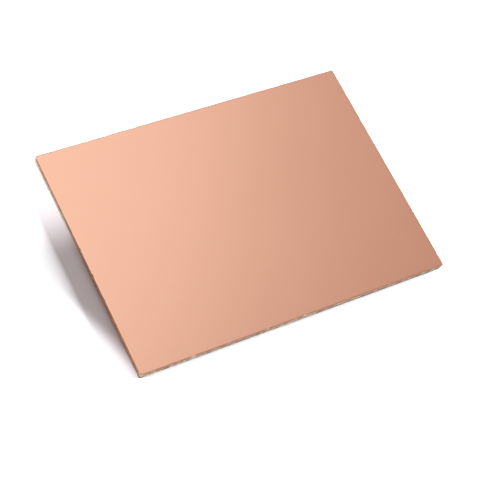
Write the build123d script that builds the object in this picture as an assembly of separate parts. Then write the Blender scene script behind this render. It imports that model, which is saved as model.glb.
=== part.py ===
from build123d import *
import os

# Copper clad board: a flat sheet of woven glass and epoxy with copper foil bonded to its
# upper face, cut to size on a shear with the copper side up.
#
# Each of the four cut edges has the section that a shear leaves, from the top down: a
# shoulder that the foil is drawn over, an upright land where the blade slid past, and a
# break that leans in under the land.
#
# Lengths are in millimetres. The origin is the middle of the underside. +X runs along
# the longer side, +Y along the shorter side, and +Z points out of the copper face.

# The board, measured over its foil
board_length = 70.0
board_depth = 50.0
board_thickness = 1.6

# Copper foil of the common weight of one ounce for each square foot
foil_thickness = 0.035

# The upright corners, which are barely rounded, and the shoulder along the upper rim
corner_radius = 0.35
shoulder_radius = 0.13

# How far the foil's skirt hangs straight down the land, below the rounded shoulder
foil_skirt = 0.05

# The break: how far up the edge it reaches, and how many degrees it leans in going down
break_height = 0.7
break_angle = 4.0

# The sheet fills the room that the foil leaves
sheet_length = board_length - 2 * foil_thickness
sheet_depth = board_depth - 2 * foil_thickness
sheet_thickness = board_thickness - foil_thickness

# The foil keeps its thickness round every bend, so its outer radii follow the sheet's
foil_corner_radius = corner_radius + foil_thickness
foil_rim_radius = shoulder_radius + foil_thickness
foil_height = foil_rim_radius + foil_skirt


def outline(length, depth, radius, height):
    """A level face at the given height, centred on the Z axis, with rounded corners."""
    return Pos(Z=height) * RectangleRounded(length, depth, radius)


def upright_plate(length, depth, radius, low, high):
    """A plate with upright sides between two heights."""
    return extrude(outline(length, depth, radius, low), amount=high - low)


def round_upper_rim(plate, radius):
    """The plate with the whole rim of its top face rounded over."""
    rim = plate.faces().sort_by(Axis.Z)[-1].edges()
    return fillet(rim, radius)


def make_sheet():
    """The glass and epoxy sheet: upright land above, leaning break below."""
    land = upright_plate(sheet_length, sheet_depth, corner_radius, break_height, sheet_thickness)
    land = round_upper_rim(land, shoulder_radius)
    break_line = outline(sheet_length, sheet_depth, corner_radius, break_height)
    break_zone = extrude(break_line, amount=break_height, dir=(0, 0, -1), taper=break_angle)
    return land + break_zone


def make_foil(sheet):
    """The copper foil: flat on the sheet, turned over its shoulder and down its land."""
    skirt_end = board_thickness - foil_height
    plate = upright_plate(board_length, board_depth, foil_corner_radius, skirt_end, board_thickness)
    plate = round_upper_rim(plate, foil_rim_radius)
    return plate - sheet


os.makedirs("parts", exist_ok=True)

glass_epoxy_sheet = make_sheet()
copper_foil = make_foil(glass_epoxy_sheet)

export_step(glass_epoxy_sheet, "parts/glass_epoxy_sheet.step")
export_step(copper_foil, "parts/copper_foil.step")
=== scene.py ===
import math
import random

import bmesh
import bpy
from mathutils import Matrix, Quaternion, Vector


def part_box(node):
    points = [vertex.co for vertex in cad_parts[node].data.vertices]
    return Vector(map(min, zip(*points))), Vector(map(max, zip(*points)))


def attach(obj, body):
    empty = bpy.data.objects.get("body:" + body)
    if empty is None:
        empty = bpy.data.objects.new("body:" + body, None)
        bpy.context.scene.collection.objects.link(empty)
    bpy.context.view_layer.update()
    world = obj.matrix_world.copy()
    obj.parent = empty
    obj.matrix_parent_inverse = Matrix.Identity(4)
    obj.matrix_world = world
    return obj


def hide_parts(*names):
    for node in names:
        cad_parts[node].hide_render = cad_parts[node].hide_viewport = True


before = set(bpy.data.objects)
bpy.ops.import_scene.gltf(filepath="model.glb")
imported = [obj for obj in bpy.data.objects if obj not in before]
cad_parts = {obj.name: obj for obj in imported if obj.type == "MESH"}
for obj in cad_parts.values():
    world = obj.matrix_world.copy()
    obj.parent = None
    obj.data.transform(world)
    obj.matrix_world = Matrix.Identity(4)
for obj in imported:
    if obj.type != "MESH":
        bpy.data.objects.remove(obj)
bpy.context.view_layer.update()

# A copper clad board that lies flat: woven glass and epoxy, sheared to size, with one
# bright copper face. Everything is in metres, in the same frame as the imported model.

MM = 0.001
TINY = 0.001 * MM

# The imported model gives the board's overall sizes
sheet_low, sheet_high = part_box("glass_epoxy_sheet")
foil_low, foil_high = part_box("copper_foil")
FOIL_THICKNESS = foil_high.z - sheet_high.z

# The section of the cut edge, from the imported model's own source
CORNER_RADIUS = 0.35 * MM
SHOULDER_RADIUS = 0.13 * MM
BREAK_HEIGHT = 0.7 * MM
BREAK_ANGLE = math.radians(4)
BREAK_LEAN = BREAK_HEIGHT * math.tan(BREAK_ANGLE)

# The torn wall: how deep and how coarse the tear is, what share of it the land has, and how
# far from the underside and from the break line it keeps
TEAR_DEPTH = 0.045 * MM
TEAR_GRAIN = 0.3 * MM
LAND_TEAR = 0.3
TEAR_MARGIN = 0.05 * MM

# The glass cloth: eight plies of a plain weave, with its yarns in bundles
PLY_COUNT = 8
PLY_HEIGHT = sheet_high.z / PLY_COUNT
WARP_PITCH = 0.58 * MM
WEFT_PITCH = 0.82 * MM
YARN_HEIGHT = 0.085 * MM
CRIMP = 0.03 * MM

# A cut yarn end: what share of the pitch it fills, how long it is, and how far in from the
# wall its middle lies
YARN_SHARE = 0.88
YARN_END_LENGTH = 0.08 * MM
YARN_INSET = 0.03 * MM

# A yarn that runs along the cut: half its thickness and half its height
WAVE_HALF_THICKNESS = 0.025 * MM
WAVE_HALF_HEIGHT = 0.02 * MM

# How far a ply may lie aside, as a share of the pitch
PLY_SLIDE = 0.45

# The foil's skirt: how coarse and how deep its ragged end is
SKIRT_GRAIN = 0.5 * MM
SKIRT_RAGGEDNESS = 0.12 * MM

# The strip of the copper face beside its rounded rim that the nicks may reach
RIM_MARGIN = 0.15 * MM

# The nicks in the foil's rim: about how far apart they are and how much that varies, half
# their length and half their depth in millimetres from least to most, half their height, how
# far below the face their middles lie, and how many degrees they may be turned
NICK_STEP = 2.6 * MM
NICK_SPREAD = (0.7, 1.3)
NICK_HALF_LENGTH = (0.3, 0.7)
NICK_HALF_DEPTH = (0.12, 0.26)
NICK_HALF_HEIGHT = 0.24 * MM
NICK_DROP = 0.1 * MM
NICK_TURN = 12

# How likely each nick is, on the first half of a side and on the second
FRONT_NICKS = (0.9, 0.35)
BACK_NICKS = (0.5, 0.5)
LEFT_NICKS = (0.3, 0.3)
RIGHT_NICKS = (0.5, 0.5)

# How many columns the sides along X and then along Y are cut into, in two goes each
SHEET_COLUMNS = ((11, 22), (2, 61))
FOIL_COLUMNS = ((12, 25), (8, 25))

# How nearly straight up or down a level face's normal points, and what share of a side's
# straight length an edge must have to count as a long one
LEVEL = 0.9999
LONG_SHARE = 0.9

# The seeds of what varies: the plies on the front and back, those on the left and right, and
# the nicks
FRONT_SEED = 3
LEFT_SEED = 5
NICK_SEED = 11


def select_only(*pieces):
    """Selects these pieces and no others, and makes the last of them active."""
    bpy.ops.object.select_all(action="DESELECT")
    for piece in pieces:
        piece.select_set(True)
        bpy.context.view_layer.objects.active = piece


def settle(piece):
    """Puts a piece's place, turn and size into its mesh."""
    select_only(piece)
    bpy.ops.object.transform_apply(location=True, rotation=True, scale=True)


def add_block(name, low, high):
    """A block between two corners."""
    bpy.ops.object.select_all(action="DESELECT")
    bpy.ops.mesh.primitive_cube_add(size=1, location=(low + high) / 2, scale=high - low)
    block = bpy.context.object
    block.name = block.data.name = name
    settle(block)
    return block


def copy_of(piece, name):
    """A copy of a piece with a mesh of its own."""
    twin = piece.copy()
    twin.data = piece.data.copy()
    twin.name = twin.data.name = name
    bpy.context.scene.collection.objects.link(twin)
    return twin


def join(pieces, name):
    """One piece made of several."""
    select_only(*pieces)
    bpy.ops.object.join()
    whole = bpy.context.object
    whole.name = whole.data.name = name
    return whole


def apply_modifier(piece, modifier):
    """Puts what a modifier does into the piece's mesh."""
    select_only(piece)
    bpy.ops.object.modifier_apply(modifier=modifier.name)


def edit(piece):
    """Opens a piece for editing, with nothing selected."""
    select_only(piece)
    bpy.ops.object.mode_set(mode="EDIT")
    bpy.ops.mesh.select_all(action="DESELECT")


def close():
    """Leaves edit mode."""
    bpy.ops.object.mode_set(mode="OBJECT")


def pick(piece, kind, test):
    """Selects just the vertices, edges or faces that pass the test, in edit mode."""
    bpy.ops.mesh.select_mode(type=kind)
    bpy.ops.mesh.select_all(action="DESELECT")
    shape = bmesh.from_edit_mesh(piece.data)
    elements = {"VERT": shape.verts, "EDGE": shape.edges, "FACE": shape.faces}[kind]
    for element in elements:
        if test(element):
            element.select_set(True)
    shape.select_flush_mode()
    bmesh.update_edit_mesh(piece.data)


def span(edge):
    """The size of an edge along X, Y and Z."""
    return [abs(value) for value in edge.verts[1].co - edge.verts[0].co]


def upright(edge):
    """Whether an edge stands straight up."""
    along_x, along_y, along_z = span(edge)
    return along_z > TINY and along_x < TINY and along_y < TINY


def level_at(height):
    """A test for edges that lie at one height."""
    return lambda edge: all(abs(vertex.co.z - height) < TINY for vertex in edge.verts)


def looks_up(face):
    """Whether a face is level and looks up."""
    return face.normal.z > LEVEL


def looks_down(face):
    """Whether a face is level and looks down."""
    return face.normal.z < -LEVEL


def inside(face, corner, inset):
    """Whether a face's middle lies at least this far in from the sides of a box."""
    middle = face.calc_center_median()
    return abs(middle.x) < corner.x - inset and abs(middle.y) < corner.y - inset


def slice_level(height):
    """Cuts a line round the whole open piece at one height."""
    bpy.ops.mesh.select_all(action="SELECT")
    bpy.ops.mesh.bisect(plane_co=(0, 0, height), plane_no=(0, 0, 1), threshold=TINY / 10)


def cut_columns(piece, columns):
    """Divides the long straight sides of an open piece, by each count of each axis in turn."""
    rounded = 2 * (CORNER_RADIUS + FOIL_THICKNESS + SHOULDER_RADIUS)
    lengths = tuple(piece.dimensions)
    for axis, counts in enumerate(columns):
        shortest = LONG_SHARE * (lengths[axis] - rounded)
        for count in counts:
            pick(piece, "EDGE", lambda edge: span(edge)[axis] > shortest and span(edge)[2] < TINY)
            bpy.ops.mesh.subdivide(number_cuts=count - 1)
            shortest /= count


def group_by_height(piece, name, weight_at):
    """A vertex group whose weights follow the height."""
    group = piece.vertex_groups.new(name=name)
    for vertex in piece.data.vertices:
        weight = weight_at(vertex.co.z)
        if weight > 0:
            group.add([vertex.index], min(weight, 1.0), "REPLACE")


def displace(piece, group, grain, depth, direction="NORMAL", level=1.0):
    """Moves a group of vertices by a cloudy pattern, inwards only where level is 1."""
    pattern = bpy.data.textures.new(f"{piece.name} {group}", type="CLOUDS")
    pattern.noise_scale = grain
    modifier = piece.modifiers.new("uneven", "DISPLACE")
    modifier.texture = pattern
    modifier.texture_coords = "LOCAL"
    modifier.vertex_group = group
    modifier.direction = direction
    modifier.mid_level = level
    modifier.strength = depth
    apply_modifier(piece, modifier)


# The resin body of the sheet


def wall_weight(height):
    """How far the shear has torn the wall: little on the land, most on the break."""
    if height < TEAR_MARGIN or height > sheet_high.z - SHOULDER_RADIUS - TINY:
        return 0.0
    if height > BREAK_HEIGHT + TEAR_MARGIN:
        return LAND_TEAR
    return 1.0


def resin_body():
    """The sheet's body: rounded corners, a shoulder, and a land above a leaning break."""
    body = add_block("resin_body", sheet_low, sheet_high)
    edit(body)
    pick(body, "EDGE", upright)
    bpy.ops.mesh.bevel(offset=CORNER_RADIUS, segments=4, affect="EDGES")
    pick(body, "EDGE", level_at(sheet_high.z))
    bpy.ops.mesh.bevel(offset=SHOULDER_RADIUS, segments=3, affect="EDGES")
    slice_level(BREAK_HEIGHT)
    length, depth = body.dimensions.x, body.dimensions.y
    pick(body, "VERT", lambda vertex: vertex.co.z < TINY)
    shrink = ((length - 2 * BREAK_LEAN) / length, (depth - 2 * BREAK_LEAN) / depth, 1)
    bpy.ops.transform.resize(value=shrink, center_override=(0, 0, 0))
    for ply in range(1, PLY_COUNT):
        slice_level(ply * PLY_HEIGHT)
    cut_columns(body, SHEET_COLUMNS)
    pick(body, "FACE", lambda face: looks_up(face) or looks_down(face))
    bpy.ops.mesh.dissolve_faces()
    close()
    group_by_height(body, "wall", wall_weight)
    displace(body, "wall", TEAR_GRAIN, TEAR_DEPTH)
    return body


# The cut ends of the glass yarns


def yarn_end(width):
    """One cut end of a yarn: a flat six-sided lens that points along Y."""
    bpy.ops.object.select_all(action="DESELECT")
    bpy.ops.mesh.primitive_cylinder_add(
        vertices=6, radius=0.5, depth=YARN_END_LENGTH, rotation=(0, 0, math.pi / 6)
    )
    lens = bpy.context.object
    settle(lens)
    lens.scale = (width, YARN_HEIGHT, 1)
    lens.rotation_euler = (math.pi / 2, 0, 0)
    settle(lens)
    return lens


def repeat(piece, count, step):
    """The piece repeated in a row."""
    modifier = piece.modifiers.new("row", "ARRAY")
    modifier.count = count
    modifier.use_relative_offset = False
    modifier.use_constant_offset = True
    modifier.constant_offset_displace = step
    apply_modifier(piece, modifier)


def row_of_ends(name, pitch, length):
    """A row of yarn ends in pairs, one high and one low, centred on the origin."""
    high = yarn_end(YARN_SHARE * pitch)
    low = copy_of(high, "low end")
    high.location = (0, 0, CRIMP / 2)
    low.location = (pitch, 0, -CRIMP / 2)
    settle(high)
    settle(low)
    row = join([low, high], name)
    pairs = int(length / (2 * pitch))
    repeat(row, pairs, (2 * pitch, 0, 0))
    row.location.x = -(pairs - 0.5) * pitch
    settle(row)
    return row


def wavy_yarn(name, pitch, length):
    """A yarn that runs along the cut and waves over and under the ends."""
    steps = 2 * int(length / pitch / 2)
    half = steps * pitch / 2
    corner = Vector((half, WAVE_HALF_THICKNESS, WAVE_HALF_HEIGHT))
    yarn = add_block(name, -corner, corner)
    edit(yarn)
    pick(yarn, "EDGE", lambda edge: span(edge)[0] > half)
    bpy.ops.mesh.subdivide(number_cuts=1)
    pick(yarn, "EDGE", lambda edge: span(edge)[0] > half / 2)
    bpy.ops.mesh.subdivide(number_cuts=steps // 2 - 1)

    def at_step(remainder):
        return lambda vertex: round((vertex.co.x + half) / pitch) % 2 == remainder

    for remainder, rise in ((0, -CRIMP), (1, CRIMP)):
        pick(yarn, "VERT", at_step(remainder))
        bpy.ops.transform.translate(value=(0, 0, rise))
    close()
    return yarn


def glass_of_side(name, pitch, length, wall, seed):
    """All the plies' yarns on the front side of the board, before they are turned."""
    chance = random.Random(seed)
    usable = length - 2 * CORNER_RADIUS - pitch
    end_row = row_of_ends("row of ends", pitch, usable)
    wave = wavy_yarn("wave", pitch, usable)
    pieces = []
    for ply in range(PLY_COUNT):
        height = (ply + 0.5) * PLY_HEIGHT
        lean = max(0.0, BREAK_HEIGHT - height) / BREAK_HEIGHT * BREAK_LEAN
        slide = chance.uniform(-PLY_SLIDE, PLY_SLIDE) * pitch
        for kind in (end_row, wave):
            piece = copy_of(kind, "ply")
            piece.location = (slide, -wall + lean + YARN_INSET, height)
            settle(piece)
            pieces.append(piece)
    bpy.data.objects.remove(end_row)
    bpy.data.objects.remove(wave)
    return join(pieces, name)


def cut_glass():
    """The cut yarns on all four sides."""
    half_length, half_depth = sheet_high.x, sheet_high.y
    front = glass_of_side("front", WARP_PITCH, 2 * half_length, half_depth, FRONT_SEED)
    left = glass_of_side("left", WEFT_PITCH, 2 * half_depth, half_length, LEFT_SEED)
    back = copy_of(front, "back")
    right = copy_of(left, "right")
    back.rotation_euler.z = math.pi
    left.rotation_euler.z = -math.pi / 2
    right.rotation_euler.z = math.pi / 2
    for side in (back, left, right):
        settle(side)
    return join([front, back, left, right], "cut_glass")


# The copper foil


def skirt_weight(height):
    """How ragged the foil is: nothing on its face, all of it at the end of the skirt."""
    rim = foil_high.z - foil_low.z
    return max(0.0, (foil_high.z - height) / rim)


def nick_row(chance, length, shares):
    """Places and sizes for a row of nicks along an edge of the given length."""
    reach = length / 2 - NICK_STEP
    place = -reach
    while place < reach:
        share = shares[0] if place < 0 else shares[1]
        if chance.random() < share:
            half_length = chance.uniform(*NICK_HALF_LENGTH) * MM
            half_depth = chance.uniform(*NICK_HALF_DEPTH) * MM
            yield place, (half_length, half_depth, NICK_HALF_HEIGHT)
        place += NICK_STEP * chance.uniform(*NICK_SPREAD)


def rim_nicks():
    """Small lens-shaped cutters for the nicks that the shear leaves in the foil's rim."""
    chance = random.Random(NICK_SEED)
    half_length, half_depth = foil_high.x, foil_high.y
    bpy.ops.object.select_all(action="DESELECT")
    bpy.ops.mesh.primitive_ico_sphere_add(subdivisions=2, radius=1)
    master = bpy.context.object
    sides = (
        (2 * half_length, 0, FRONT_NICKS, lambda place: (place, -half_depth)),
        (2 * half_length, 0, BACK_NICKS, lambda place: (place, half_depth)),
        (2 * half_depth, 90, LEFT_NICKS, lambda place: (-half_length, place)),
        (2 * half_depth, 90, RIGHT_NICKS, lambda place: (half_length, place)),
    )
    cutters = []
    for length, turn, shares, spot in sides:
        for place, size in nick_row(chance, length, shares):
            cutter = copy_of(master, "nick")
            cutter.scale = size
            cutter.rotation_euler.z = math.radians(turn + chance.uniform(-NICK_TURN, NICK_TURN))
            x, y = spot(place)
            cutter.location = (x, y, foil_high.z - NICK_DROP)
            settle(cutter)
            cutters.append(cutter)
    bpy.data.objects.remove(master)
    return join(cutters, "nicks")


def foil_skin():
    """The foil's outer skin: a flat face, a rounded rim and the skirt below, open underneath."""
    rim_radius = SHOULDER_RADIUS + FOIL_THICKNESS
    skin = add_block("drawn_foil", foil_low, foil_high)
    edit(skin)
    pick(skin, "EDGE", upright)
    bpy.ops.mesh.bevel(offset=CORNER_RADIUS + FOIL_THICKNESS, segments=5, affect="EDGES")
    pick(skin, "EDGE", level_at(foil_high.z))
    bpy.ops.mesh.bevel(offset=rim_radius, segments=5, affect="EDGES")
    pick(skin, "FACE", looks_up)
    bpy.ops.mesh.inset(thickness=RIM_MARGIN)
    pick(skin, "FACE", looks_down)
    bpy.ops.mesh.delete(type="FACE")
    cut_columns(skin, FOIL_COLUMNS)
    face_inset = rim_radius + RIM_MARGIN
    pick(skin, "FACE", lambda face: looks_up(face) and inside(face, foil_high, face_inset))
    bpy.ops.mesh.dissolve_faces()
    close()
    return skin


def drawn_foil():
    """The foil: flat on top, drawn over the shoulder, with a ragged skirt and nicks."""
    foil = foil_skin()
    group_by_height(foil, "skirt", skirt_weight)
    displace(foil, "skirt", SKIRT_GRAIN, SKIRT_RAGGEDNESS, direction="Z", level=0.0)
    wall = foil.modifiers.new("thickness", "SOLIDIFY")
    wall.thickness = FOIL_THICKNESS
    wall.offset = -1
    apply_modifier(foil, wall)
    nicks = rim_nicks()
    cut = foil.modifiers.new("nicks", "BOOLEAN")
    cut.operation = "DIFFERENCE"
    cut.solver = "EXACT"
    cut.object = nicks
    apply_modifier(foil, cut)
    bpy.data.objects.remove(nicks)
    edit(foil)
    bpy.ops.mesh.select_all(action="SELECT")
    bpy.ops.mesh.dissolve_degenerate(threshold=TINY / 2)
    close()
    bpy.ops.object.shade_smooth_by_angle(angle=math.radians(30))
    return foil


# Materials


def light_of(value):
    """The share of light that a screen value from 0 to 255 stands for."""
    part = value / 255
    return part / 12.92 if part <= 0.04045 else ((part + 0.055) / 1.055) ** 2.4


def rgb(red, green, blue):
    """A colour given as it looks on a screen."""
    return (light_of(red), light_of(green), light_of(blue), 1.0)


# The colours. Where a row has two, the finish wavers between them
COPPER_FACE = (rgb(239, 183, 156), rgb(241, 185, 158))
# The rim colour is darker than the face: painted shade of the rounded edge, on a rim that is also
# really duller
DULL_SHADED_RIM = rgb(192, 148, 122)
WORN_CORNER = rgb(208, 184, 144)
PALE_RESIN = (rgb(188, 164, 130), rgb(202, 180, 146))
CLOUDED_RESIN = rgb(192, 166, 132)
# The torn break's dark browns are painted shade at the foot of the cut edge
SHADED_TORN_RESIN = (rgb(90, 69, 58), rgb(124, 98, 83))
CRAZED_RESIN = rgb(236, 226, 204)
# A dark brown that paints the shade at the foot of the cut, on the resin
FOOT_SHADE_RESIN = rgb(84, 56, 44)
CLEAN_RESIN = rgb(240, 232, 214)
SMEARED_RESIN = rgb(182, 132, 108)
GLASS_YARN = (rgb(144, 122, 98), rgb(224, 212, 192))
FOOT_SHADE_YARN = rgb(106, 72, 58)
# A dark brown that paints the shade at the foot of the cut, on the yarn ends
CLEAN_YARN = rgb(244, 238, 224)
SMEARED_YARN = rgb(188, 138, 112)
PAPER = ((0.62, 0.605, 0.635, 1.0), (0.64, 0.625, 0.655, 1.0))

# The range that nearly all of a noise lies in
NOISE = (0.3, 0.7)

# The ranges of noise over which a finish turns from one look to the other
TORN_PATCHES = (0.4, 0.6)
CRAZED_CLOUDS = (0.52, 0.6)
CRAZED_PATCHES = (0.4, 0.55)
YARN_PATCHES = (0.45, 0.58)
SMEAR_PATCHES = (0.3, 0.6)

# The dull, darker rim round the copper face, whose darkness is painted shade of the rounded edge
# carried a little onto the flat face:
# how far in it is all dark, where it ends, how much that line wanders, and how much narrower the
# rim is on the left side
RIM_DULL = 0.12 * MM
RIM_END = 0.24 * MM
RIM_WANDER = 0.06 * MM
CLEAN_LEFT = 0.1 * MM

# How far the copper is rubbed off round the near corner, how sharply that ends, and how much
# its line wanders
WORN_REACH = 0.75 * MM
WORN_FADE = 0.1 * MM
WORN_WANDER = 0.2 * MM

# The left wall's own marks lie between these places along X
LEFT_WALL = (sheet_low.x + 0.3 * MM, sheet_low.x + 0.15 * MM)

# The copper dust on the left wall: where along the side its lower line rises, from which
# height to which, over what height it fades, how thick it is from least to most, and where
# along the side it begins
SMEAR_RISE = (-6 * MM, 10 * MM)
SMEAR_LINE = (-0.3 * MM, 0.72 * MM)
SMEAR_FADE = 0.25 * MM
SMEAR_THICKNESS = (0.6, 0.9)
SMEAR_START = (sheet_low.y + 0.5 * MM, sheet_low.y + 1.2 * MM)

# The clean part of the left wall: where along the side it begins, and the heights from which
# it begins going down
CLEAN_START = (-4 * MM, 8 * MM)
CLEAN_TOP = (0.98 * MM, 0.75 * MM)

# The painted shade at the foot of the cut: the heights from which it begins going down, between
# which places along X it darkens, and how dark it gets
FOOT_SHADE_TOP = (0.9 * MM, 0.5 * MM)
FOOT_SHADE_RISE = (-8 * MM, 16 * MM)
FOOT_SHADE_DARKEST = 0.75

# The heights between which the pale land turns to the dark torn brown, whose darkness is painted
# shade at the foot of the cut edge, the height of the pale foot below the brown, and the heights
# between which the crazing begins
TORN_TOP = (BREAK_HEIGHT + 0.12 * MM, BREAK_HEIGHT - 0.15 * MM)
PALE_FOOT = 0.02 * MM
CRAZED_FROM = (0.2 * MM, 0.5 * MM)

# How rough each finish is, from least to most, and what the rolling lines and the dull rim
# add to the copper's
COPPER_ROUGHNESS = (0.255, 0.265)
LINE_ROUGHNESS = 0.01
RIM_ROUGHNESS = 0.15
RESIN_ROUGHNESS = (0.38, 0.6)
YARN_ROUGHNESS = (0.4, 0.65)
PAPER_ROUGHNESS = 0.9

# The heights of the fine relief
COPPER_WEAVE_RELIEF = 0.0004 * MM
COPPER_LINE_RELIEF = 0.00012 * MM
COPPER_GRAIN_RELIEF = 0.0002 * MM
RESIN_WEAVE_RELIEF = 0.006 * MM
RESIN_PATCH_RELIEF = 0.01 * MM
THREAD_RELIEF = 0.003 * MM


class Finish:
    """A material whose colour, roughness and bump are built from nodes."""

    def __init__(self, name):
        self.material = bpy.data.materials.new(name)
        self.material.use_nodes = True
        self.nodes = self.material.node_tree.nodes
        self.links = self.material.node_tree.links
        self.shader = self.nodes["Principled BSDF"]
        self.place = self.nodes.new("ShaderNodeTexCoord").outputs["Object"]

    def feed(self, socket, value):
        """Gives a socket a link or a fixed value."""
        if isinstance(value, bpy.types.NodeSocket):
            self.links.new(value, socket)
        else:
            socket.default_value = value

    def shade(self, name, value):
        """Gives one input of the shader a link or a fixed value."""
        self.feed(self.shader.inputs[name], value)

    def scaled(self, scale):
        """The object's own coordinates, stretched along each axis."""
        node = self.nodes.new("ShaderNodeMapping")
        node.inputs["Scale"].default_value = scale
        self.links.new(self.place, node.inputs["Vector"])
        return node.outputs["Vector"]

    def noise(self, scale, detail, roughness=0.5, vector=None):
        """Cloudy noise, about one cloud for each 1/scale."""
        node = self.nodes.new("ShaderNodeTexNoise")
        node.inputs["Scale"].default_value = scale
        node.inputs["Detail"].default_value = detail
        node.inputs["Roughness"].default_value = roughness
        self.links.new(vector or self.place, node.inputs["Vector"])
        return node.outputs["Fac"]

    def calc(self, operation, first, second=0.0):
        """One sum on one or two values."""
        node = self.nodes.new("ShaderNodeMath")
        node.operation = operation
        self.feed(node.inputs[0], first)
        self.feed(node.inputs[1], second)
        return node.outputs["Value"]

    def product(self, first, *others):
        """Several values multiplied together."""
        for other in others:
            first = self.calc("MULTIPLY", first, other)
        return first

    def axes(self):
        """The place along X, Y and Z."""
        node = self.nodes.new("ShaderNodeSeparateXYZ")
        self.links.new(self.place, node.inputs["Vector"])
        return node.outputs["X"], node.outputs["Y"], node.outputs["Z"]

    def between(self, value, low, high, start=0.0, end=1.0):
        """Turns the range low to high into start to end."""
        node = self.nodes.new("ShaderNodeMapRange")
        self.feed(node.inputs["Value"], value)
        node.inputs["From Min"].default_value = low
        node.inputs["From Max"].default_value = high
        node.inputs["To Min"].default_value = start
        node.inputs["To Max"].default_value = end
        return node.outputs["Result"]

    def wander(self, value, noise, reach):
        """A value shifted to and fro by a noise, at most as far as the reach."""
        return self.calc("ADD", value, self.between(noise, *NOISE, -reach, reach))

    def blend(self, factor, first, second):
        """A colour between two others."""
        node = self.nodes.new("ShaderNodeMix")
        node.data_type = "RGBA"
        self.feed(node.inputs["Factor"], factor)
        self.feed(node.inputs["A"], first)
        self.feed(node.inputs["B"], second)
        return node.outputs["Result"]

    def bump(self, height, distance, normal=None):
        """Fine relief of the given height."""
        node = self.nodes.new("ShaderNodeBump")
        node.inputs["Strength"].default_value = 1.0
        node.inputs["Distance"].default_value = distance
        self.feed(node.inputs["Height"], height)
        if normal:
            self.links.new(normal, node.inputs["Normal"])
        return node.outputs["Normal"]

    def dull_shaded_rim(self, wear):
        """One on the rim and down the skirt, and nothing further in on the face: where the painted
        shade of the rounded edge and the duller finish go.
        """
        x, y, _ = self.axes()
        from_left = self.calc("ADD", x, foil_high.x + CLEAN_LEFT)
        from_right = self.calc("SUBTRACT", foil_high.x, x)
        from_end = self.calc("SUBTRACT", foil_high.y, self.calc("ABSOLUTE", y))
        inward = self.calc("MINIMUM", self.calc("MINIMUM", from_left, from_right), from_end)
        return self.between(self.wander(inward, wear, RIM_WANDER), RIM_END, RIM_DULL)

    def worn_corner(self, wear):
        """One where the copper is rubbed off round the near corner, else nothing."""
        x, y, _ = self.axes()
        along_x = self.calc("POWER", self.calc("ADD", x, foil_high.x), 2.0)
        along_y = self.calc("POWER", self.calc("ADD", y, foil_high.y), 2.0)
        gap = self.calc("SQRT", self.calc("ADD", along_x, along_y))
        return self.between(self.wander(gap, wear, WORN_WANDER), WORN_REACH, WORN_REACH - WORN_FADE)

    def smeared_wall(self, patches):
        """How thickly copper dust lies on the left wall, where it was wiped along the cut."""
        x, y, z = self.axes()
        on_wall = self.between(x, *LEFT_WALL)
        lowest = self.between(y, *SMEAR_RISE, *SMEAR_LINE)
        reached = self.between(self.calc("SUBTRACT", z, lowest), 0.0, SMEAR_FADE)
        thickness = self.between(patches, *SMEAR_PATCHES, *SMEAR_THICKNESS)
        return self.product(on_wall, reached, thickness, self.between(y, *SMEAR_START))

    def clean_wall(self):
        """One on the lower part of the left wall's far half, which the blade left pale."""
        x, y, z = self.axes()
        on_wall = self.between(x, *LEFT_WALL)
        return self.product(on_wall, self.between(y, *CLEAN_START), self.between(z, *CLEAN_TOP))

    def painted_foot_shade(self):
        """How darkly shade is painted on the foot of the cut: not at all on the left, most on the
        right.
        """
        x, _, z = self.axes()
        low = self.between(z, *FOOT_SHADE_TOP)
        return self.product(low, self.between(x, *FOOT_SHADE_RISE, 0.0, FOOT_SHADE_DARKEST))

    def marked(self, colour, patches, foot_shade, clean, smeared):
        """A cut edge's colour with the painted shade at the foot, the clean part and the copper
        dust laid over it.
        """
        colour = self.blend(self.painted_foot_shade(), colour, foot_shade)
        colour = self.blend(self.clean_wall(), colour, clean)
        return self.blend(self.smeared_wall(patches), colour, smeared)

    def weave(self):
        """The plain weave of the cloth: high where a warp yarn lies on top, else low."""
        x, y, _ = self.axes()
        across = self.calc("SINE", self.product(x, math.pi / WARP_PITCH))
        along = self.calc("SINE", self.product(y, math.pi / WEFT_PITCH))
        return self.product(across, along)


def copper_finish():
    """Bright rolled copper, with a dull worked rim darkened by painted shade of the rounded edge,
    and a corner that is rubbed through.
    """
    finish = Finish("bright rolled copper")
    clouds = finish.noise(45, detail=3)
    lines = finish.noise(1, detail=3, vector=finish.scaled((300, 14000, 300)))
    grain = finish.noise(9000, detail=2)
    wear = finish.noise(1500, detail=3)
    rim = finish.dull_shaded_rim(wear)
    worn = finish.worn_corner(wear)
    copper = finish.blend(finish.between(clouds, *NOISE), *COPPER_FACE)
    # The darker rim colour is painted shade of the rounded edge; its extra roughness is the real
    # dull rim
    copper = finish.blend(rim, copper, DULL_SHADED_RIM)
    finish.shade("Base Color", finish.blend(worn, copper, WORN_CORNER))
    finish.shade("Metallic", finish.calc("SUBTRACT", 1.0, worn))
    gloss = finish.between(clouds, *NOISE, *COPPER_ROUGHNESS)
    gloss = finish.wander(gloss, lines, LINE_ROUGHNESS)
    finish.shade("Roughness", finish.calc("ADD", gloss, finish.product(rim, RIM_ROUGHNESS)))
    relief = finish.bump(finish.weave(), COPPER_WEAVE_RELIEF)
    relief = finish.bump(lines, COPPER_LINE_RELIEF, normal=relief)
    finish.shade("Normal", finish.bump(grain, COPPER_GRAIN_RELIEF, normal=relief))
    return finish.material


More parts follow.
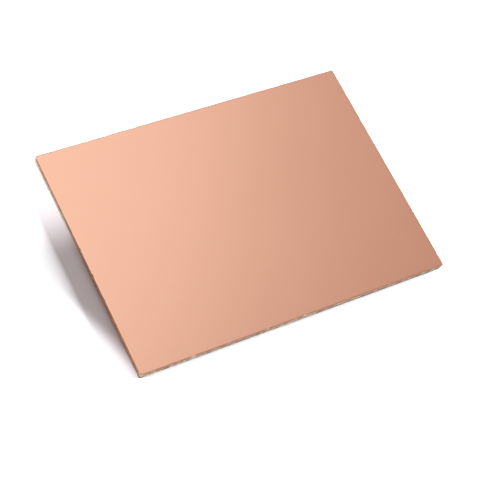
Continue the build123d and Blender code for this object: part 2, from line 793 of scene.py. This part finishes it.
def resin_finish():
    """Pale glass-filled epoxy, with the weave showing and a dark brown torn break below the land,
    painted shade at the foot of the cut edge.
    """
    finish = Finish("glass-filled epoxy")
    _, _, z = finish.axes()
    weave = finish.weave()
    clouds = finish.noise(420, detail=4)
    patches = finish.noise(1300, detail=4, roughness=0.6)
    pale = finish.blend(finish.between(weave, -1, 1), *PALE_RESIN)
    pale = finish.blend(finish.between(clouds, *NOISE), pale, CLOUDED_RESIN)
    # The torn break's dark brown is painted shade at the foot of the cut edge, over its real torn
    # texture and relief
    brown = finish.blend(finish.between(patches, *TORN_PATCHES), *SHADED_TORN_RESIN)
    torn = finish.product(finish.between(z, *TORN_TOP), finish.between(z, 0.0, PALE_FOOT))
    crazed = finish.product(
        finish.between(clouds, *CRAZED_CLOUDS),
        finish.between(patches, *CRAZED_PATCHES),
        finish.between(z, *CRAZED_FROM),
    )
    body = finish.blend(torn, pale, brown)
    body = finish.blend(crazed, body, CRAZED_RESIN)
    body = finish.marked(body, patches, FOOT_SHADE_RESIN, CLEAN_RESIN, SMEARED_RESIN)
    finish.shade("Base Color", body)
    finish.shade("Roughness", finish.between(patches, *NOISE, *RESIN_ROUGHNESS))
    relief = finish.bump(weave, RESIN_WEAVE_RELIEF)
    finish.shade("Normal", finish.bump(patches, RESIN_PATCH_RELIEF, normal=relief))
    return finish.material


def glass_finish():
    """Cut glass yarn: white where it is crazed, straw-coloured where resin wets it."""
    finish = Finish("cut glass yarn")
    patches = finish.noise(1100, detail=3, roughness=0.6)
    threads = finish.noise(30000, detail=2)
    yarn = finish.blend(finish.between(patches, *YARN_PATCHES), *GLASS_YARN)
    yarn = finish.marked(yarn, patches, FOOT_SHADE_YARN, CLEAN_YARN, SMEARED_YARN)
    finish.shade("Base Color", yarn)
    finish.shade("Roughness", finish.between(threads, *NOISE, *YARN_ROUGHNESS))
    finish.shade("Normal", finish.bump(threads, THREAD_RELIEF))
    return finish.material


def floor_finish():
    """A matt white paper floor."""
    finish = Finish("white paper floor")
    finish.shade("Base Color", finish.blend(finish.noise(6, detail=2), *PAPER))
    finish.shade("Roughness", PAPER_ROUGHNESS)
    return finish.material


# The board


def make_board():
    """Models the sheet and its foil, gives them their finishes and hands them over."""
    body = resin_body()
    glass = cut_glass()
    body.data.materials.append(resin_finish())
    glass.data.materials.append(glass_finish())
    sheet = join([glass, body], "sheared_sheet")
    foil = drawn_foil()
    foil.data.materials.append(copper_finish())
    for piece, node, material_slot in (
        (sheet, "glass_epoxy_sheet", "glass_epoxy"),
        (foil, "copper_foil", "copper"),
    ):
        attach(piece, "root")
        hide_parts(node)


# The stage


def make_floor():
    """A wide flat floor that the board lies on."""
    bpy.ops.object.select_all(action="DESELECT")
    bpy.ops.mesh.primitive_plane_add(size=6, location=(0, 0, 0))
    floor = bpy.context.object
    floor.name = floor.data.name = "floor"
    floor.data.materials.append(floor_finish())
    return floor


# The light that the room gives from all round
ROOM_COLOUR = (1.0, 0.806, 0.75, 1.0)
ROOM_STRENGTH = 0.51

# Soft lights that face the board, round where they have one size and oblong where they have
# two: the direction and the distance at which each stands, and its size, colour and power.
# The wide light widens the high one, and the floor light adds to the low one on the floor.
HIGH_LIGHT = {
    "direction": (0.08, 0.53, 0.85),
    "distance": 1.0,
    "size": (0.8,),
    "colour": (0.724, 0.903, 0.98),
    "power": 1.0,
}
WIDE_LIGHT = HIGH_LIGHT | {"distance": 1.05, "size": (1.21,), "power": 1.109}
LOW_LIGHT = {
    "direction": (0.958, -0.101, 0.231),
    "distance": 3.0,
    "size": (1.65, 0.9),
    "colour": (1.0, 1.0, 1.0),
    "power": 80.0,
}
FLOOR_LIGHT = LOW_LIGHT | {"colour": (0.91, 1.0, 0.97), "power": 517.0}

# Small round lights that fill in the shadow to the back left, to the front left and behind
# the board: the direction in which each stands, the place on the floor that it is aimed at,
# how far its pool of light reaches there, how soft the pool's rim is, and its power
FILL_DISTANCE = 0.5
FILL_RADIUS = 0.8 * MM
BACK_FILL = {
    "direction": (-0.33, 0.5, 0.8),
    "aim": (-43 * MM, 42 * MM, 0),
    "reach": 31.7 * MM,
    "rim": 0.56,
    "power": 15.0,
}
FRONT_FILL = {
    "direction": (-0.5, 0.2, 0.81),
    "aim": (-145 * MM, -25.8 * MM, 0),
    "reach": 86.5 * MM,
    "rim": 0.06,
    "power": 20.0,
}
BEHIND_FILL = {
    "direction": (0.0, 0.3, 0.95),
    "aim": (0, 130 * MM, 0),
    "reach": 100 * MM,
    "rim": 0.06,
    "power": 20.0,
}


def hang_light(data, direction, distance, aim=(0, 0, 0)):
    """Hangs a light at a distance from the place that it is aimed at, facing it."""
    light = bpy.data.objects.new(data.name, data)
    away = Vector(direction).normalized()
    light.location = Vector(aim) + away * distance
    light.rotation_euler = away.to_track_quat("Z", "Y").to_euler()
    bpy.context.scene.collection.objects.link(light)
    return light


def soft_light(name, direction, distance, size, colour, power):
    """A flat soft light that faces the board, round or oblong."""
    data = bpy.data.lights.new(name, "AREA")
    data.shape = "DISK" if len(size) == 1 else "RECTANGLE"
    data.size = size[0]
    data.size_y = size[-1]
    data.color = colour
    data.energy = power
    return hang_light(data, direction, distance)


def fill_light(name, direction, aim, reach, rim, power):
    """A small round light that throws a pool of light on the floor round its aim."""
    data = bpy.data.lights.new(name, "SPOT")
    data.energy = power
    data.spot_size = 2 * math.atan(reach / FILL_DISTANCE)
    data.spot_blend = rim
    data.shadow_soft_size = FILL_RADIUS
    return hang_light(data, direction, FILL_DISTANCE, aim)


def falls_only_on(light, piece):
    """Lets a light fall on one piece alone, though the others still shade it."""
    lit = bpy.data.collections.new(light.name)
    lit.objects.link(piece)
    light.light_linking.receiver_collection = lit


def light_stage(floor):
    """A pale room, the soft lights, and the lights on the floor alone that shape the shadow."""
    room = bpy.data.worlds.new("pale room")
    room.use_nodes = True
    background = room.node_tree.nodes["Background"]
    background.inputs["Color"].default_value = ROOM_COLOUR
    background.inputs["Strength"].default_value = ROOM_STRENGTH
    bpy.context.scene.world = room
    soft_light("high light", **HIGH_LIGHT)
    soft_light("wide light", **WIDE_LIGHT)
    soft_light("low light", **LOW_LIGHT)
    floor_light = soft_light("floor light", **FLOOR_LIGHT)
    back_fill = fill_light("back fill", **BACK_FILL)
    front_fill = fill_light("front fill", **FRONT_FILL)
    behind_fill = fill_light("behind fill", **BEHIND_FILL)
    for light in (floor_light, back_fill, front_fill, behind_fill):
        falls_only_on(light, floor)
    bpy.context.scene.view_settings.view_transform = "Standard"


# The camera: where it stands round the board, how far it is turned about its own line
# of sight, how far off it is, and where on the board it aims
CAMERA_AZIMUTH = math.radians(-51.78)
CAMERA_ELEVATION = math.radians(58.03)
CAMERA_ROLL = math.radians(28.59)
CAMERA_DISTANCE = 305.5 * MM
CAMERA_LENS = 114.8
CAMERA_AIM = Vector((-3.26 * MM, -5.27 * MM, 0.8 * MM))


def place_camera():
    """The photograph's view: high up to the front left, looking down on the copper."""
    level = math.cos(CAMERA_ELEVATION)
    back = Vector((
        math.sin(CAMERA_AZIMUTH) * level,
        -math.cos(CAMERA_AZIMUTH) * level,
        math.sin(CAMERA_ELEVATION),
    ))
    data = bpy.data.cameras.new("camera")
    data.lens = CAMERA_LENS
    data.sensor_width = 36
    data.clip_start = 0.01
    camera = bpy.data.objects.new("camera", data)
    camera.rotation_mode = "QUATERNION"
    roll = Quaternion((0, 0, 1), CAMERA_ROLL)
    camera.rotation_quaternion = (-back).to_track_quat("-Z", "Y") @ roll
    camera.location = CAMERA_AIM + back * CAMERA_DISTANCE
    bpy.context.scene.collection.objects.link(camera)
    bpy.context.scene.camera = camera


make_board()
light_stage(make_floor())
place_camera()
